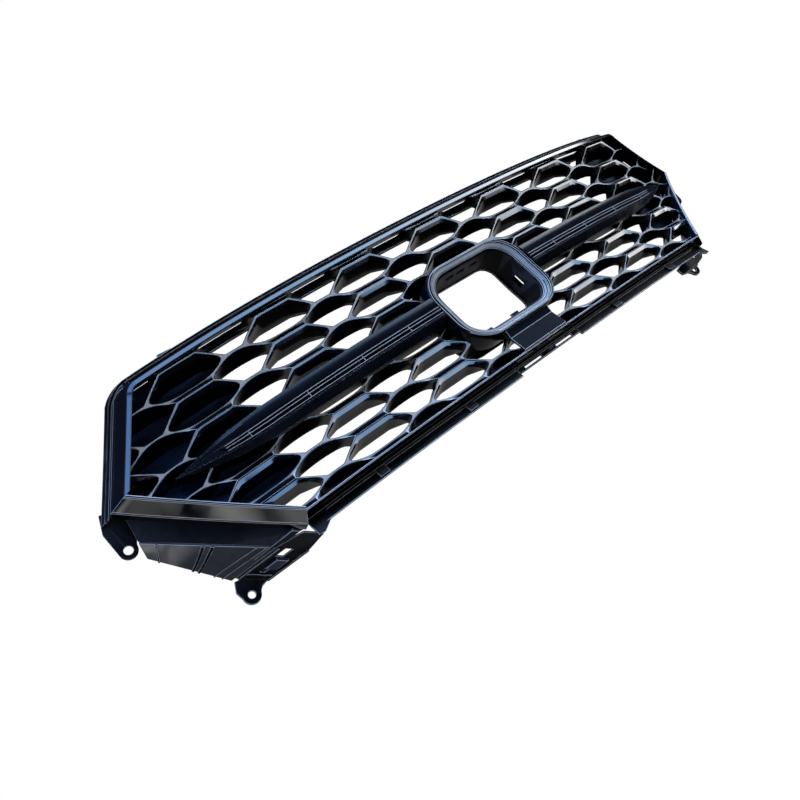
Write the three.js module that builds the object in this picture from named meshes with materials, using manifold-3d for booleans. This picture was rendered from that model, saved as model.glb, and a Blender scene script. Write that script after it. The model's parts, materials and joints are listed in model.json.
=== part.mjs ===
// Front grille of a passenger car: a honeycomb mesh in a six-sided bezel, with a bar across the
// middle, a ring and socket for an emblem, and the flanges, tabs and brackets that hold it.
// Millimetres. X runs across the car, Y runs back into the car, Z is up.
// Pieces are drawn on a flat plan (x across, z up, depth back) and then bent onto the swept face.

import * as THREE from 'three';
import { mergeVertices } from 'three/addons/utils/BufferGeometryUtils.js';
import Module from 'manifold-3d';

const wasm = await Module();
wasm.setup();

// Driving dimensions of the face
const face = { middleZ: 110, bowRadius: 422, sweepSpan: 465, sweepSoft: 21, sweepHard: 14.4 };
const corners = { upper: [467, 211], side: [535, 109], lower: [398, -30] };
const topArch = 5.3;
const archSteps = 14;
const clearance = 0.4;
const longestEdge = { x: 70, z: 30 };

// Honeycomb: columns of wide cells, with narrower cells halfway between them
const comb = { columnPitch: 135.3, rowPitch: 39.3, firstRowZ: 204.5, rows: 6, depth: 26, rib: 2.6 };
const wideCell = { topHalf: 24.3, sideHalf: 55.4, bottomHalf: 28.7, height: 30.5 };
const narrowHalf = 12.2;
const ceilingDrop = 12;
const shingleDepth = 11;
const combRim = 4;

// Bar across the middle, one wing each side of the ring
const bar = { rootX: 91, tipX: 481, tipZ: 91, topZ: 106, bottomZ: 72, backDrop: 8, proud: 14 };
const slot = { lowZ: 75.5, highZ: 88, endX: 430, recess: 6 };

// Emblem ring and the socket behind it
const ring = { centreZ: 73.5, halfX: 90, halfZ: 65.5, radius: 46, rimX: 16.7, rimZ: 11, front: -14, back: 24 };
const socket = { front: -4, back: 33, wall: 2.5, taperX: 5, taperZ: 2 };

// Flanges and the pieces that hang on them
const flange = { top: 17, side: 25, thick: 3, topDepth: 18, sideDepth: 28, bottomDepth: 18 };
const bottomEdge = { bezelZ: -37, flangeZ: -53, centreFlangeZ: -48.5, centreHalf: 62, endX: 401 };
const boltRadius = 4.5;

// Right side garnish and bracket arm, as [x, y, z] corners in their final place
const garnish = {
  frontHigh: [543, 88, 68],
  frontLow: [435, 48, -33.6],
  backHigh: [543, 100, 51],
  backLow: [481, 109, -24],
  thick: 3,
};
const ledge = { outward: 11, depth: 29, high: 0.02, low: 1.015, backLow: 0.97, gap: 0.06, thick: 2.5 };
const arm = {
  flangeHigh: [409, 19, -43.5],
  frontHigh: [434, 47.6, -34.6],
  backHigh: [477.9, 105.8, -25.4],
  frontLow: [405, 47.6, -58.5],
  push: [1.4, -0.8, -1.8],
};
const armOpenings = [
  { along: [0.03, 0.27], across: [0.3, 0.53] },
  { along: [0.62, 0.76], across: [0.45, 0.6] },
];

// Bolt holes, as plan positions, and the lobes of material round them
const sideBolt = { x: 557, z: 67, lobe: 11, topZ: 104 };
const lowerBolt = { x: 474, z: -53, lobe: 11.5, depth: 108, thick: 4 };

const paint = {
  gloss: { color: 0x050608, roughness: 0.12, metalness: 0 },
  satin: { color: 0x0b0c0f, roughness: 0.45, metalness: 0 },
  panel: { color: 0x10161f, roughness: 0.5, metalness: 0 },
  smoke: { color: 0x3a3f45, roughness: 0.25, metalness: 0 },
  steel: { color: 0x8f9499, roughness: 0.35, metalness: 1 },
};

function faceDepth(x, z) {
  const u = x / face.sweepSpan;
  const bow = (z - face.middleZ) ** 2 / (2 * face.bowRadius);
  return face.sweepSoft * u ** 2 + face.sweepHard * u ** 4 - bow;
}

// ---- Solids -------------------------------------------------------------------------------

function toSolid(geometry) {
  const bare = new THREE.BufferGeometry();
  bare.setAttribute('position', geometry.getAttribute('position'));
  bare.setIndex(geometry.index);
  const merged = mergeVertices(bare, 1e-3);
  const vertProperties = new Float32Array(merged.attributes.position.array);
  const triVerts = new Uint32Array(merged.index.array);
  return new wasm.Manifold(new wasm.Mesh({ numProp: 3, vertProperties, triVerts }));
}

// A prism with the given plan outline between two depths
function plate(outline, front, back) {
  const shape = new THREE.Shape(outline.map(([x, z]) => new THREE.Vector2(x, z)));
  const geometry = new THREE.ExtrudeGeometry(shape, { depth: back - front, bevelEnabled: false });
  geometry.translate(0, 0, -back);
  geometry.rotateX(Math.PI / 2);
  return toSolid(geometry);
}

function box(lowX, highX, lowZ, highZ, front, back) {
  return plate([[lowX, lowZ], [highX, lowZ], [highX, highZ], [lowX, highZ]], front, back);
}

function disc(x, z, radius, front, back, sides = 16) {
  const geometry = new THREE.CylinderGeometry(radius, radius, back - front, sides);
  geometry.translate(x, (front + back) / 2, z);
  return toSolid(geometry);
}

function signedVolume(points, index) {
  let total = 0;
  for (let i = 0; i < index.length; i += 3) {
    const [a, b, c] = [points[index[i]], points[index[i + 1]], points[index[i + 2]]];
    total += a[0] * (b[1] * c[2] - b[2] * c[1]) - a[1] * (b[0] * c[2] - b[2] * c[0])
      + a[2] * (b[0] * c[1] - b[1] * c[0]);
  }
  return total;
}

// A skin through loops of equal length, closed by flat ends or, for a ring, back onto the first loop
function loft(loops, closed = false) {
  const count = loops[0].length;
  const points = loops.flat();
  const index = [];
  const spans = closed ? loops.length : loops.length - 1;
  for (let i = 0; i < spans; i += 1) {
    for (let j = 0; j < count; j += 1) {
      const a = i * count + j;
      const b = i * count + ((j + 1) % count);
      const c = (a + count) % points.length;
      const d = (b + count) % points.length;
      index.push(a, b, d, a, d, c);
    }
  }
  const last = points.length - count;
  for (let j = 1; !closed && j < count - 1; j += 1) {
    index.push(0, j + 1, j, last, last + j, last + j + 1);
  }
  if (signedVolume(points, index) < 0) index.reverse();
  const geometry = new THREE.BufferGeometry();
  geometry.setAttribute('position', new THREE.Float32BufferAttribute(points.flat(), 3));
  geometry.setIndex(index);
  return toSolid(geometry);
}

function join(solids) {
  return solids.reduce((whole, next) => whole.add(next));
}

// ---- Plan outlines ------------------------------------------------------------------------

function offsetLine(a, b, distance) {
  const length = Math.hypot(b[0] - a[0], b[1] - a[1]);
  const normal = [(b[1] - a[1]) / length, -(b[0] - a[0]) / length];
  return [a, b].map(([x, z]) => [x + normal[0] * distance, z + normal[1] * distance]);
}

function crossing([a, b], [c, d]) {
  const r = [b[0] - a[0], b[1] - a[1]];
  const s = [d[0] - c[0], d[1] - c[1]];
  const t = ((c[0] - a[0]) * s[1] - (c[1] - a[1]) * s[0]) / (r[0] * s[1] - r[1] * s[0]);
  return [a[0] + r[0] * t, a[1] + r[1] * t];
}

// Moves every side of an anticlockwise outline outwards, keeping sharp corners
function grow(outline, distance) {
  return outline.map((point, i) => {
    const before = outline[(i + outline.length - 1) % outline.length];
    const after = outline[(i + 1) % outline.length];
    return crossing(offsetLine(before, point, distance), offsetLine(point, after, distance));
  });
}

// The six corners of the bezel, anticlockwise from the lower left, moved outwards by a distance
function bezelCorners(outward) {
  const right = [corners.lower, corners.side, corners.upper];
  const left = right.map(([x, z]) => [-x, z]).reverse();
  return grow([...right, ...left], outward);
}

function archLift(x) {
  return topArch * (1 - (x / corners.upper[0]) ** 2);
}

function bezelOutline(outward) {
  const outline = bezelCorners(outward);
  const top = [];
  const steps = archSteps;
  for (let i = 1; i < steps; i += 1) {
    const x = outline[2][0] + (outline[3][0] - outline[2][0]) * (i / steps);
    top.push([x, outline[2][1] + archLift(x)]);
  }
  return [...outline.slice(0, 3), ...top, ...outline.slice(3)];
}

function roundedOutline(halfX, halfZ, radius, stepsPerCorner = 8) {
  const points = [];
  for (let corner = 0; corner < 4; corner += 1) {
    const sideX = corner === 0 || corner === 3 ? 1 : -1;
    const sideZ = corner < 2 ? 1 : -1;
    for (let i = 0; i <= stepsPerCorner; i += 1) {
      const angle = (corner + i / stepsPerCorner) * (Math.PI / 2);
      const x = sideX * (halfX - radius) + radius * Math.cos(angle);
      points.push([x, ring.centreZ + sideZ * (halfZ - radius) + radius * Math.sin(angle)]);
    }
  }
  return points;
}

// Part of a circle in plan, between two angles in quarter turns
function arc(x, z, radius, from, to, steps = 8) {
  const points = [];
  for (let i = 0; i <= steps; i += 1) {
    const angle = (from + (to - from) * (i / steps)) * (Math.PI / 2);
    points.push([x + radius * Math.cos(angle), z + radius * Math.sin(angle)]);
  }
  return points;
}

// ---- From flat solids to placed geometry ----------------------------------------------------

function splitLongEdges(points, triangles, limit) {
  const middles = new Map();
  const middleOf = (a, b) => {
    const spanX = Math.abs(points[a][0] - points[b][0]);
    const spanZ = Math.abs(points[a][2] - points[b][2]);
    if (spanX <= limit.x && spanZ <= limit.z) return -1;
    const key = a < b ? `${a}_${b}` : `${b}_${a}`;
    if (!middles.has(key)) {
      points.push([0, 1, 2].map((k) => (points[a][k] + points[b][k]) / 2));
      middles.set(key, points.length - 1);
    }
    return middles.get(key);
  };
  const result = [];
  for (const [a, b, c] of triangles) {
    let corner = [a, b, c];
    let middle = [middleOf(a, b), middleOf(b, c), middleOf(c, a)];
    const splits = middle.filter((m) => m >= 0).length;
    if (splits === 1 || splits === 2) {
      while (middle[0] < 0 || (splits === 2 && middle[1] < 0)) {
        corner = [corner[1], corner[2], corner[0]];
        middle = [middle[1], middle[2], middle[0]];
      }
    }
    const [p, q, r] = corner;
    const [m, n, o] = middle;
    if (splits === 0) result.push([p, q, r]);
    if (splits === 1) result.push([p, m, r], [m, q, r]);
    if (splits === 2) result.push([p, m, r], [m, n, r], [m, q, n]);
    if (splits === 3) result.push([p, m, o], [m, q, n], [o, n, r], [m, n, o]);
  }
  return result.length === triangles.length ? result : splitLongEdges(points, result, limit);
}

// Bends a flat solid onto the swept face. The shift adds more depth at a plan position.
function bend(solid, shift = () => 0) {
  const mesh = solid.getMesh();
  const flat = mesh.vertProperties;
  const points = [];
  for (let i = 0; i < flat.length; i += 3) points.push([flat[i], flat[i + 1], flat[i + 2]]);
  let triangles = [];
  for (let i = 0; i < mesh.triVerts.length; i += 3) triangles.push([...mesh.triVerts.slice(i, i + 3)]);
  triangles = splitLongEdges(points, triangles, longestEdge);
  const bent = points.map(([x, y, z]) => [x, y + faceDepth(x, z) + shift(x, y, z), z]);
  return toGeometry(bent, triangles);
}

function toGeometry(points, triangles) {
  const geometry = new THREE.BufferGeometry();
  geometry.setAttribute('position', new THREE.Float32BufferAttribute(points.flat(), 3));
  geometry.setIndex(triangles.flat());
  return geometry;
}

// A solid that stays straight, moved back to the depth of the face at one plan position
function straight(solid, x = 0, z = face.middleZ) {
  const mesh = solid.getMesh();
  const geometry = new THREE.BufferGeometry();
  geometry.setAttribute('position', new THREE.BufferAttribute(new Float32Array(mesh.vertProperties), 3));
  geometry.setIndex(new THREE.BufferAttribute(new Uint32Array(mesh.triVerts), 1));
  geometry.translate(0, faceDepth(x, z), 0);
  return geometry;
}

function mirrored(geometry) {
  const copy = geometry.clone();
  copy.scale(-1, 1, 1);
  copy.setIndex([...copy.index.array].reverse());
  return copy;
}

const grille = new THREE.Group();

function addPiece(name, geometry, look) {
  const mesh = new THREE.Mesh(geometry, new THREE.MeshStandardMaterial(look));
  mesh.name = name;
  grille.add(mesh);
}

function addPair(name, rightGeometry, look) {
  addPiece(`${name}_right`, rightGeometry, look);
  addPiece(`${name}_left`, mirrored(rightGeometry), look);
}

// ---- Honeycomb ------------------------------------------------------------------------------

function rowZ(row) {
  return comb.firstRowZ - comb.rowPitch * row;
}

function wideCellLoop(x, row, drop) {
  const top = rowZ(row) - drop;
  const middle = rowZ(row) - comb.rowPitch / 2;
  const bottom = rowZ(row) - wideCell.height;
  const right = [[wideCell.bottomHalf, bottom], [wideCell.sideHalf, middle], [wideCell.topHalf, top]];
  const left = right.map(([px, pz]) => [-px, pz]).reverse();
  return [...right, ...left].map(([px, pz]) => [x + px, pz]);
}

function narrowCellLoop(x, row, drop) {
  const waist = rowZ(row);
  const top = waist + comb.rowPitch / 2 - drop;
  const bottom = waist - comb.rowPitch / 2;
  const lowHalf = comb.columnPitch / 2 - wideCell.topHalf;
  const highHalf = comb.columnPitch / 2 - wideCell.bottomHalf;
  const shoulder = waist + comb.rowPitch - wideCell.height - drop / 3;
  const right = [[narrowHalf, bottom], [lowHalf, waist - drop / 3], [highHalf, shoulder], [narrowHalf, top]];
  const left = right.map(([px, pz]) => [-px, pz]).reverse();
  return [...right, ...left].map(([px, pz]) => [x + px, pz]);
}

// The air of one cell: its ceiling falls towards the back
function cellAir(loopAt) {
  const front = grow(loopAt(0), -comb.rib / 2);
  const back = grow(loopAt(ceilingDrop), -comb.rib / 2);
  const at = (loop, depth) => loop.map(([x, z]) => [x, depth, z]);
  return loft([at(front, -1), at(front, 0), at(back, comb.depth), at(back, comb.depth + 1)]);
}

function combAir() {
  const cells = [];
  for (let row = 0; row < comb.rows; row += 1) {
    for (let column = -3; column <= 3; column += 1) {
      cells.push(cellAir((drop) => wideCellLoop(column * comb.columnPitch, row, drop)));
    }
    for (let column = -3.5; column <= 3.5; column += 1) {
      cells.push(cellAir((drop) => narrowCellLoop(column * comb.columnPitch, row, drop)));
    }
  }
  return join(cells);
}

// Plan of both wings of the bar as one long diamond, moved outwards by a distance
function barPlan(outward) {
  const right = [[bar.rootX, bar.bottomZ - bar.backDrop], [420, 70], [bar.tipX, bar.tipZ], [430, 101],
    [bar.rootX, bar.topZ]];
  const left = right.map(([x, z]) => [-x, z]).reverse();
  return grow([...right, ...left], outward);
}

function ringPlan(outward, inset = 0) {
  const more = outward - inset;
  return roundedOutline(ring.halfX + more, ring.halfZ + more, ring.radius + more);
}

// Each row of ribs leans back like a shingle: its lower edge is in front, its upper edge behind
function shingle(z) {
  const step = (z - comb.firstRowZ) / comb.rowPitch;
  const part = step - Math.floor(step);
  const rise = 1 - wideCell.height / comb.rowPitch;
  return shingleDepth * (part < rise ? part / rise : (1 - part) / (1 - rise));
}

function honeycombMesh() {
  const outline = bezelOutline(-2 * clearance);
  const body = plate(outline, 0, comb.depth);
  const window = plate(bezelOutline(-combRim - 4), -2, comb.depth + 2);
  const closed = plate(barPlan(2), -3, comb.depth + 3).add(plate(ringPlan(3), -3, comb.depth + 3));
  const air = combAir().intersect(window).subtract(closed);
  const hollow = plate(barPlan(-2), 4, comb.depth + 1);
  const ringHole = plate(ringPlan(clearance), -1, comb.depth + 1);
  const mesh = body.subtract(air).subtract(hollow).subtract(ringHole);
  return bend(mesh, (x, y, z) => shingle(z) * (1 - y / comb.depth));
}

// A closed panel behind the outermost cells, with an inner edge that follows their ribs
function blankingPanel() {
  const lowZ = 13;
  const farX = 600;
  const highZ = 300;
  const columnX = 3 * comb.columnPitch;
  const inner = [[columnX - wideCell.topHalf, highZ]];
  for (let row = 0; row < comb.rows - 1; row += 1) {
    inner.push([columnX - wideCell.topHalf, rowZ(row)]);
    inner.push([columnX - wideCell.sideHalf, rowZ(row) - comb.rowPitch / 2]);
    inner.push([columnX - wideCell.bottomHalf, rowZ(row) - wideCell.height]);
  }
  const outline = [...inner, [columnX - wideCell.topHalf, lowZ], [farX, lowZ], [farX, highZ]];
  const [front, back] = [comb.depth + 0.8, comb.depth + 3.3];
  const panel = plate(bezelOutline(-2 * combRim), front, back);
  return bend(panel.intersect(plate(outline, front - 1, back + 1)));
}

// ---- Bezel ------------------------------------------------------------------------------------

// A straight member of the bezel between two corners. The section lists [outward, depth] pairs.
function bezelMember(cornerIndex, section, steps, endGap = clearance) {
  const rails = section.map(([outward]) => bezelCorners(outward));
  const next = (cornerIndex + 1) % 6;
  const loops = [];
  for (let i = 0; i <= steps; i += 1) {
    loops.push(section.map(([, depth], k) => {
      const [a, b] = [rails[k][cornerIndex], rails[k][next]];
      const length = Math.hypot(b[0] - a[0], b[1] - a[1]);
      const t = endGap / length + (1 - (2 * endGap) / length) * (i / steps);
      const x = a[0] + (b[0] - a[0]) * t;
      const lift = cornerIndex === 2 ? archLift(x) : 0;
      return [x, depth, a[1] + (b[1] - a[1]) * t + lift];
    }));
  }
  return loft(loops);
}

const lipBack = -0.8;
const topSection = [[-8, lipBack], [-8, -3], [-1, -6], [1.5, -5.5], [3, -2], [3, 16], [-clearance, 16],
  [-clearance, lipBack]];
const sideSection = [[-4, lipBack], [-4, -2], [-1, -4], [1, -4], [12, 7], [12, 26], [-clearance, 26],
  [-clearance, lipBack]];
const lowerSection = [[-3, lipBack], [-3, -2], [0, -4], [2, -3], [14, 11], [14, 28], [-clearance, 28],
  [-clearance, lipBack]];
const bottomSection = [[-clearance, -1], [0.5, -2], [2, -1], [7, 15], [7, 24], [-clearance, 24]];

function bezelPieces() {
  addPiece('bezel_top', bend(bezelMember(2, topSection, archSteps)), paint.gloss);
  addPair('bezel_side', bend(bezelMember(1, sideSection, 3)), paint.gloss);
  addPair('bezel_lower', bend(bezelMember(0, lowerSection, 4)), paint.gloss);
  addPiece('bezel_bottom', bend(bezelMember(5, bottomSection, 12)), paint.gloss);
}

// ---- Bar ----------------------------------------------------------------------------------------

function barProud(x) {
  const along = (x - bar.rootX) / (bar.tipX - bar.rootX);
  return bar.proud * (1 - along ** 2) + 2;
}

function mix(a, b, t) {
  return a + (b - a) * t;
}

// How far the bar has closed towards its tip, from 0 along most of it to 1 at the end
function tipClosing(x) {
  const start = 360;
  return x < start ? 0 : ((x - start) / (bar.tipX - start)) ** 1.8;
}

function barSection(x) {
  const close = Math.min(tipClosing(x), 0.93);
  const level = (z) => mix(z, bar.tipZ, close);
  const front = -barProud(x);
  const recess = x < slot.endX ? slot.recess : 0.3;
  const highZ = x < slot.endX ? level(slot.highZ) : level(slot.lowZ) + 0.6;
  const profile = [[level(bar.topZ), -0.8], [level(bar.topZ) - 1, front + 5], [level(bar.topZ - 8), front],
    [highZ, front], [highZ, front + recess], [level(slot.lowZ), front + recess], [level(slot.lowZ), front],
    [level(bar.bottomZ), front], [level(bar.bottomZ - bar.backDrop), -0.8]];
  return profile.map(([z, depth]) => [x, depth, z]);
}

function barWing() {
  const stations = [91.5, 150, 210, 270, 330, 370, 400, slot.endX - 0.5, slot.endX + 0.5, 455, 470, bar.tipX];
  return bend(loft(stations.map(barSection)));
}

// Two rails and their cross pieces, lying in the recess of the bar
function barInsert() {
  const rail = (low, high, front, back) => {
    const stations = [96, 150, 210, 270, 330, 370, 400, 424];
    return loft(stations.map((x) => {
      const close = tipClosing(x);
      const at = (share) => mix(mix(slot.lowZ + 0.6, slot.highZ - 0.6, share), bar.tipZ, close);
      const floor = -barProud(x) + slot.recess;
      return [[x, floor + front, at(low)], [x, floor + front, at(high)],
        [x, floor + back, at(high)], [x, floor + back, at(low)]];
    }));
  };
  return bend(join([rail(0, 1, -2.2, -0.5), rail(0, 0.16, -5, -0.5), rail(0.56, 0.72, -4, -0.5)]));
}

// ---- Emblem ring and socket -----------------------------------------------------------------------

// A ring with a rounded four-sided plan. The section lists [share of the rim inwards, depth] pairs.
function rimRing(section) {
  const loops = section.map(([share, depth]) => {
    const halfX = ring.halfX - ring.rimX * share;
    const halfZ = ring.halfZ - ring.rimZ * share;
    return roundedOutline(halfX, halfZ, ring.radius - 12 * share).map(([x, z]) => [x, depth, z]);
  });
  return loft(loops, true);
}

function emblemRing() {
  const { front, back } = ring;
  return bend(rimRing([[0, back], [0, front + 4], [0.15, front], [0.45, front + 0.5], [0.5, front + 3],
    [1, front + 5], [1, front + 9], [0.6, front + 14], [0.6, back]]));
}

function socketPlan(t, inset) {
  const halfX = ring.halfX - ring.rimX - clearance - socket.taperX * t - inset;
  const halfZ = ring.halfZ - ring.rimZ - clearance - socket.taperZ * t - inset;
  return roundedOutline(halfX, halfZ, ring.radius - 14 - inset, 6);
}

function socketShell(front, back, inset) {
  const at = (t, depth) => socketPlan(t, inset).map(([x, z]) => [x, depth, z]);
  return loft([at(0, front), at(1, back)]);
}

function emblemSocket() {
  const shell = socketShell(socket.front, socket.back, 0);
  const inside = socketShell(socket.front - 1, socket.back + 1, socket.wall);
  const wallHoles = [box(-80, 80, 60, 78, 10, 22), box(-32, -16, 115, 135, 6, 14), box(-10, 6, 115, 135, 6, 14),
    box(16, 32, 115, 135, 6, 14)];
  return bend(shell.subtract(inside).subtract(join(wallHoles)));
}

// A spring clip standing on the floor of the socket
function emblemClip() {
  const x = 27;
  const floorZ = ring.centreZ - ring.halfZ + ring.rimZ + socket.wall + 2.6;
  const foot = box(x - 9, x + 9, floorZ, floorZ + 3, 12, 30);
  return bend(foot.add(box(x - 7, x + 7, floorZ + 1, floorZ + 11, 26, 29)));
}

// The bracket behind the socket that carries the emblem and its sensor
function emblemFrame() {
  const front = socket.back + clearance;
  const outer = plate(roundedOutline(88, 66, 24, 4), front, front + 3);
  const hole = plate(roundedOutline(62, 48, 20, 4), front - 1, front + 4);
  return bend(outer.subtract(hole));
}

function frameScrew(z) {
  const front = socket.back + clearance + 3.3;
  return bend(disc(74, z, 5, front, front + 3, 12));
}

// The plate that fills the front between the ring and the bottom of the bezel
function centrePlate() {
  const halfX = 42;
  const ringBottom = ring.centreZ - ring.halfZ - clearance;
  const profile = [[ringBottom, -10], [-4, -5], [-29, -4], [-29, -0.6], [ringBottom, -0.6]];
  const stations = [-halfX, -14, 14, halfX];
  return bend(loft(stations.map((x) => profile.map(([z, depth]) => [x, depth, z]))));
}

// ---- Flanges, tabs and brackets -----------------------------------------------------------------------

function flangeTop() {
  const thickBack = flange.topDepth + flange.thick;
  const section = [[3.5, flange.topDepth], [flange.top, flange.topDepth], [flange.top, thickBack],
    [3.5, thickBack]];
  return bend(bezelMember(2, section, archSteps));
}

function flangeSide() {
  const { side, sideDepth, thick } = flange;
  const section = [[12.5, 12], [15, 12], [15, sideDepth], [side, sideDepth], [side, sideDepth + thick],
    [12.5, sideDepth + thick]];
  return bend(bezelMember(1, section, 3));
}

function flangeBottom() {
  const depth = flange.bottomDepth;
  const outline = [[bottomEdge.centreHalf + clearance, bottomEdge.bezelZ - clearance],
    [bottomEdge.centreHalf + clearance, bottomEdge.flangeZ], [bottomEdge.endX - 22, bottomEdge.flangeZ],
    [bottomEdge.endX - 8, bottomEdge.flangeZ - 8], [bottomEdge.endX, bottomEdge.flangeZ - 7],
    [bottomEdge.endX, bottomEdge.bezelZ - 5], [bottomEdge.endX - 2, bottomEdge.bezelZ - clearance]];
  return bend(plate(outline.reverse(), depth, depth + flange.thick));
}

function flangeBottomCentre() {
  const half = bottomEdge.centreHalf;
  const depth = flange.bottomDepth;
  const highZ = bottomEdge.bezelZ - clearance;
  const strip = box(-half, half, bottomEdge.centreFlangeZ, highZ, depth, depth + flange.thick);
  const slotLow = bottomEdge.centreFlangeZ + 3;
  const cut = (x) => box(x - 17, x + 17, slotLow, slotLow + 3, depth - 1, depth + 5);
  return bend(strip.subtract(cut(-32)).subtract(cut(32)));
}

function bottomClip(x) {
  const depth = flange.bottomDepth - clearance;
  return bend(box(x - 7, x + 7, -50, -39, depth - 3, depth));
}

function topTab() {
  const depth = flange.topDepth + flange.thick + clearance;
  return straight(box(394, 413, 222, 235, depth + 3, depth + 6), 403, 228);
}

// The tab at the foot of the side flange, with its bolt hole
function sideTab() {
  const { x, z, lobe, topZ } = sideBolt;
  const depth = flange.sideDepth + flange.thick + 1.5;
  const inner = [[x - lobe - 5, topZ], [x - lobe - 4, z + 10]];
  const outline = [...inner, ...arc(x, z, lobe, 2, 4), [x + lobe + 2, topZ]];
  const tab = plate(outline, depth, depth + 3).subtract(disc(x, z, boltRadius + 1, depth - 1, depth + 4));
  return straight(tab, x, topZ - 24);
}

// A strip in space between a front edge and a back edge, given thickness along the lower side's normal
function ruledStrip(frontEdge, backEdge, thick) {
  const [low, high] = [corners.lower, corners.side];
  const along = new THREE.Vector2(high[0] - low[0], high[1] - low[1]).normalize();
  const push = [along.y * thick, 0, -along.x * thick];
  const moved = (point) => point.map((value, k) => value + push[k]);
  return loft(frontEdge.map((front, i) => [front, backEdge[i], moved(backEdge[i]), moved(front)]));
}

function garnishEdge(share, outward, depth) {
  const [a, b] = offsetLine(corners.lower, corners.side, outward);
  const [x, z] = [mix(b[0], a[0], share), mix(b[1], a[1], share)];
  return [x, faceDepth(x, z) + depth, z];
}

function garnishPoint(high, low, share) {
  return high.map((value, k) => mix(value, low[k], share));
}

// The ledge behind the lower bezel that carries the side garnish
function garnishRail() {
  const shares = [0, 0.33, 0.67, 1];
  const { outward, depth, high, low, backLow, gap, thick } = ledge;
  const front = shares.map((share) => garnishEdge(mix(high, low, share), outward, depth));
  const edge = shares.map((share) => garnishPoint(garnish.frontHigh, garnish.frontLow, share * backLow));
  const back = edge.map((point, i) => garnishPoint(point, front[i], gap));
  return straight(ruledStrip(front, back, thick), 0, face.middleZ);
}

function sideGarnish() {
  const shares = [0, 0.33, 0.67, 1];
  const front = shares.map((share) => garnishPoint(garnish.frontHigh, garnish.frontLow, share));
  const back = shares.map((share) => garnishPoint(garnish.backHigh, garnish.backLow, share));
  return straight(ruledStrip(front, back, garnish.thick), 0, face.middleZ);
}

// The bolt tab under the side garnish, wide enough at the top to take the end of the arm
function lowerBracket() {
  const { x, z, lobe, depth, thick } = lowerBolt;
  const outline = [[x - 32, z + 17], [x - 30, z + 4], [x - 16, z + 1], ...arc(x, z, lobe, 2.2, 4.1),
    [x + lobe + 2, z + 12], [x + lobe - 4, z + 24]];
  const tab = plate(outline, depth, depth + thick);
  return straight(tab.subtract(disc(x, z, boltRadius, depth - 1, depth + thick + 1)));
}

// A point on the arm: along it towards the bolt tab, across it downwards, and through its thickness
function armPoint(along, across, through) {
  const { frontHigh, backHigh, frontLow, push } = arm;
  return frontHigh.map((value, k) => value + along * (backHigh[k] - value) + across * (frontLow[k] - value)
    + through * push[k]);
}

function armOpening({ along, across }) {
  const ends = [[0, 0], [1, 0], [1, 1], [0, 1]];
  const loop = (through) => ends.map(([i, j]) => armPoint(along[i], across[j], through));
  return loft([loop(-1), loop(2)]);
}

// The arm from the bottom flange back to the bolt tab
function bracketArm() {
  const { flangeHigh, push } = arm;
  const flangeWidth = 0.62;
  const flangeLow = flangeHigh.map((value, k) => value + flangeWidth * (arm.frontLow[k] - arm.frontHigh[k]));
  const moved = (point) => point.map((value, k) => value + push[k]);
  const start = [flangeHigh, flangeLow, moved(flangeLow), moved(flangeHigh)];
  const station = (along) => {
    return [armPoint(along, 0, 0), armPoint(along, 1, 0), armPoint(along, 1, 1), armPoint(along, 0, 1)];
  };
  return straight(loft([start, station(0), station(1)]).subtract(join(armOpenings.map(armOpening))));
}

function rearRail(cornerIndex, section, steps, endGap) {
  return bend(bezelMember(cornerIndex, section, steps, endGap));
}

function railScrew(x) {
  const depth = comb.depth + 6.4;
  return bend(disc(x, corners.upper[1] + archLift(x) - 4, 4, depth, depth + 3, 12));
}

bezelPieces();
addPiece('honeycomb_mesh', honeycombMesh(), paint.satin);
addPair('blanking_panel', blankingPanel(), paint.panel);
addPair('bar_wing', barWing(), paint.gloss);
addPair('bar_insert', barInsert(), paint.satin);
addPiece('emblem_ring', emblemRing(), paint.gloss);
addPiece('emblem_socket', emblemSocket(), paint.satin);
addPair('emblem_clip', emblemClip(), paint.satin);
addPiece('emblem_frame', emblemFrame(), paint.satin);
addPair('frame_screw_lower', frameScrew(24), paint.steel);
addPair('frame_screw_upper', frameScrew(123), paint.steel);
addPiece('centre_plate', centrePlate(), paint.panel);
addPiece('flange_top', flangeTop(), paint.satin);
addPair('flange_side', flangeSide(), paint.satin);
addPair('flange_bottom', flangeBottom(), paint.satin);
addPiece('flange_bottom_centre', flangeBottomCentre(), paint.satin);
addPair('bottom_clip_inner', bottomClip(152), paint.satin);
addPair('bottom_clip_outer', bottomClip(298), paint.satin);
addPair('top_tab', topTab(), paint.satin);
addPair('side_tab', sideTab(), paint.satin);
addPair('garnish_rail', garnishRail(), paint.satin);
addPair('side_garnish', sideGarnish(), paint.smoke);
addPair('lower_bracket', lowerBracket(), paint.satin);
addPair('bracket_arm', bracketArm(), paint.satin);
addPiece('rear_rail_upper', rearRail(2, [[-7, 26.5], [4, 26.5], [4, 32], [-7, 32]], archSteps, 3), paint.satin);
addPiece('rear_rail_lower', rearRail(5, [[0, 24.5], [5, 24.5], [5, 34], [0, 34]], 12, 12), paint.satin);
addPair('rail_screw_inner', railScrew(120), paint.steel);
addPair('rail_screw_outer', railScrew(360), paint.steel);

const centre = new THREE.Box3().setFromObject(grille).getCenter(new THREE.Vector3());
grille.position.copy(centre).negate();
grille.updateMatrixWorld(true);

export default grille;
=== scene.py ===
"""Looks of the front grille: finished pieces and materials around its CAD frame, with a camera,
soft light and a pale floor. Lengths of the grille's own shapes are in millimetres on its flat plan
(x across, z up, depth back) and are bent onto the swept face by place()."""

import json
import math

import bmesh
import bpy
from mathutils import Matrix, Vector


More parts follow.
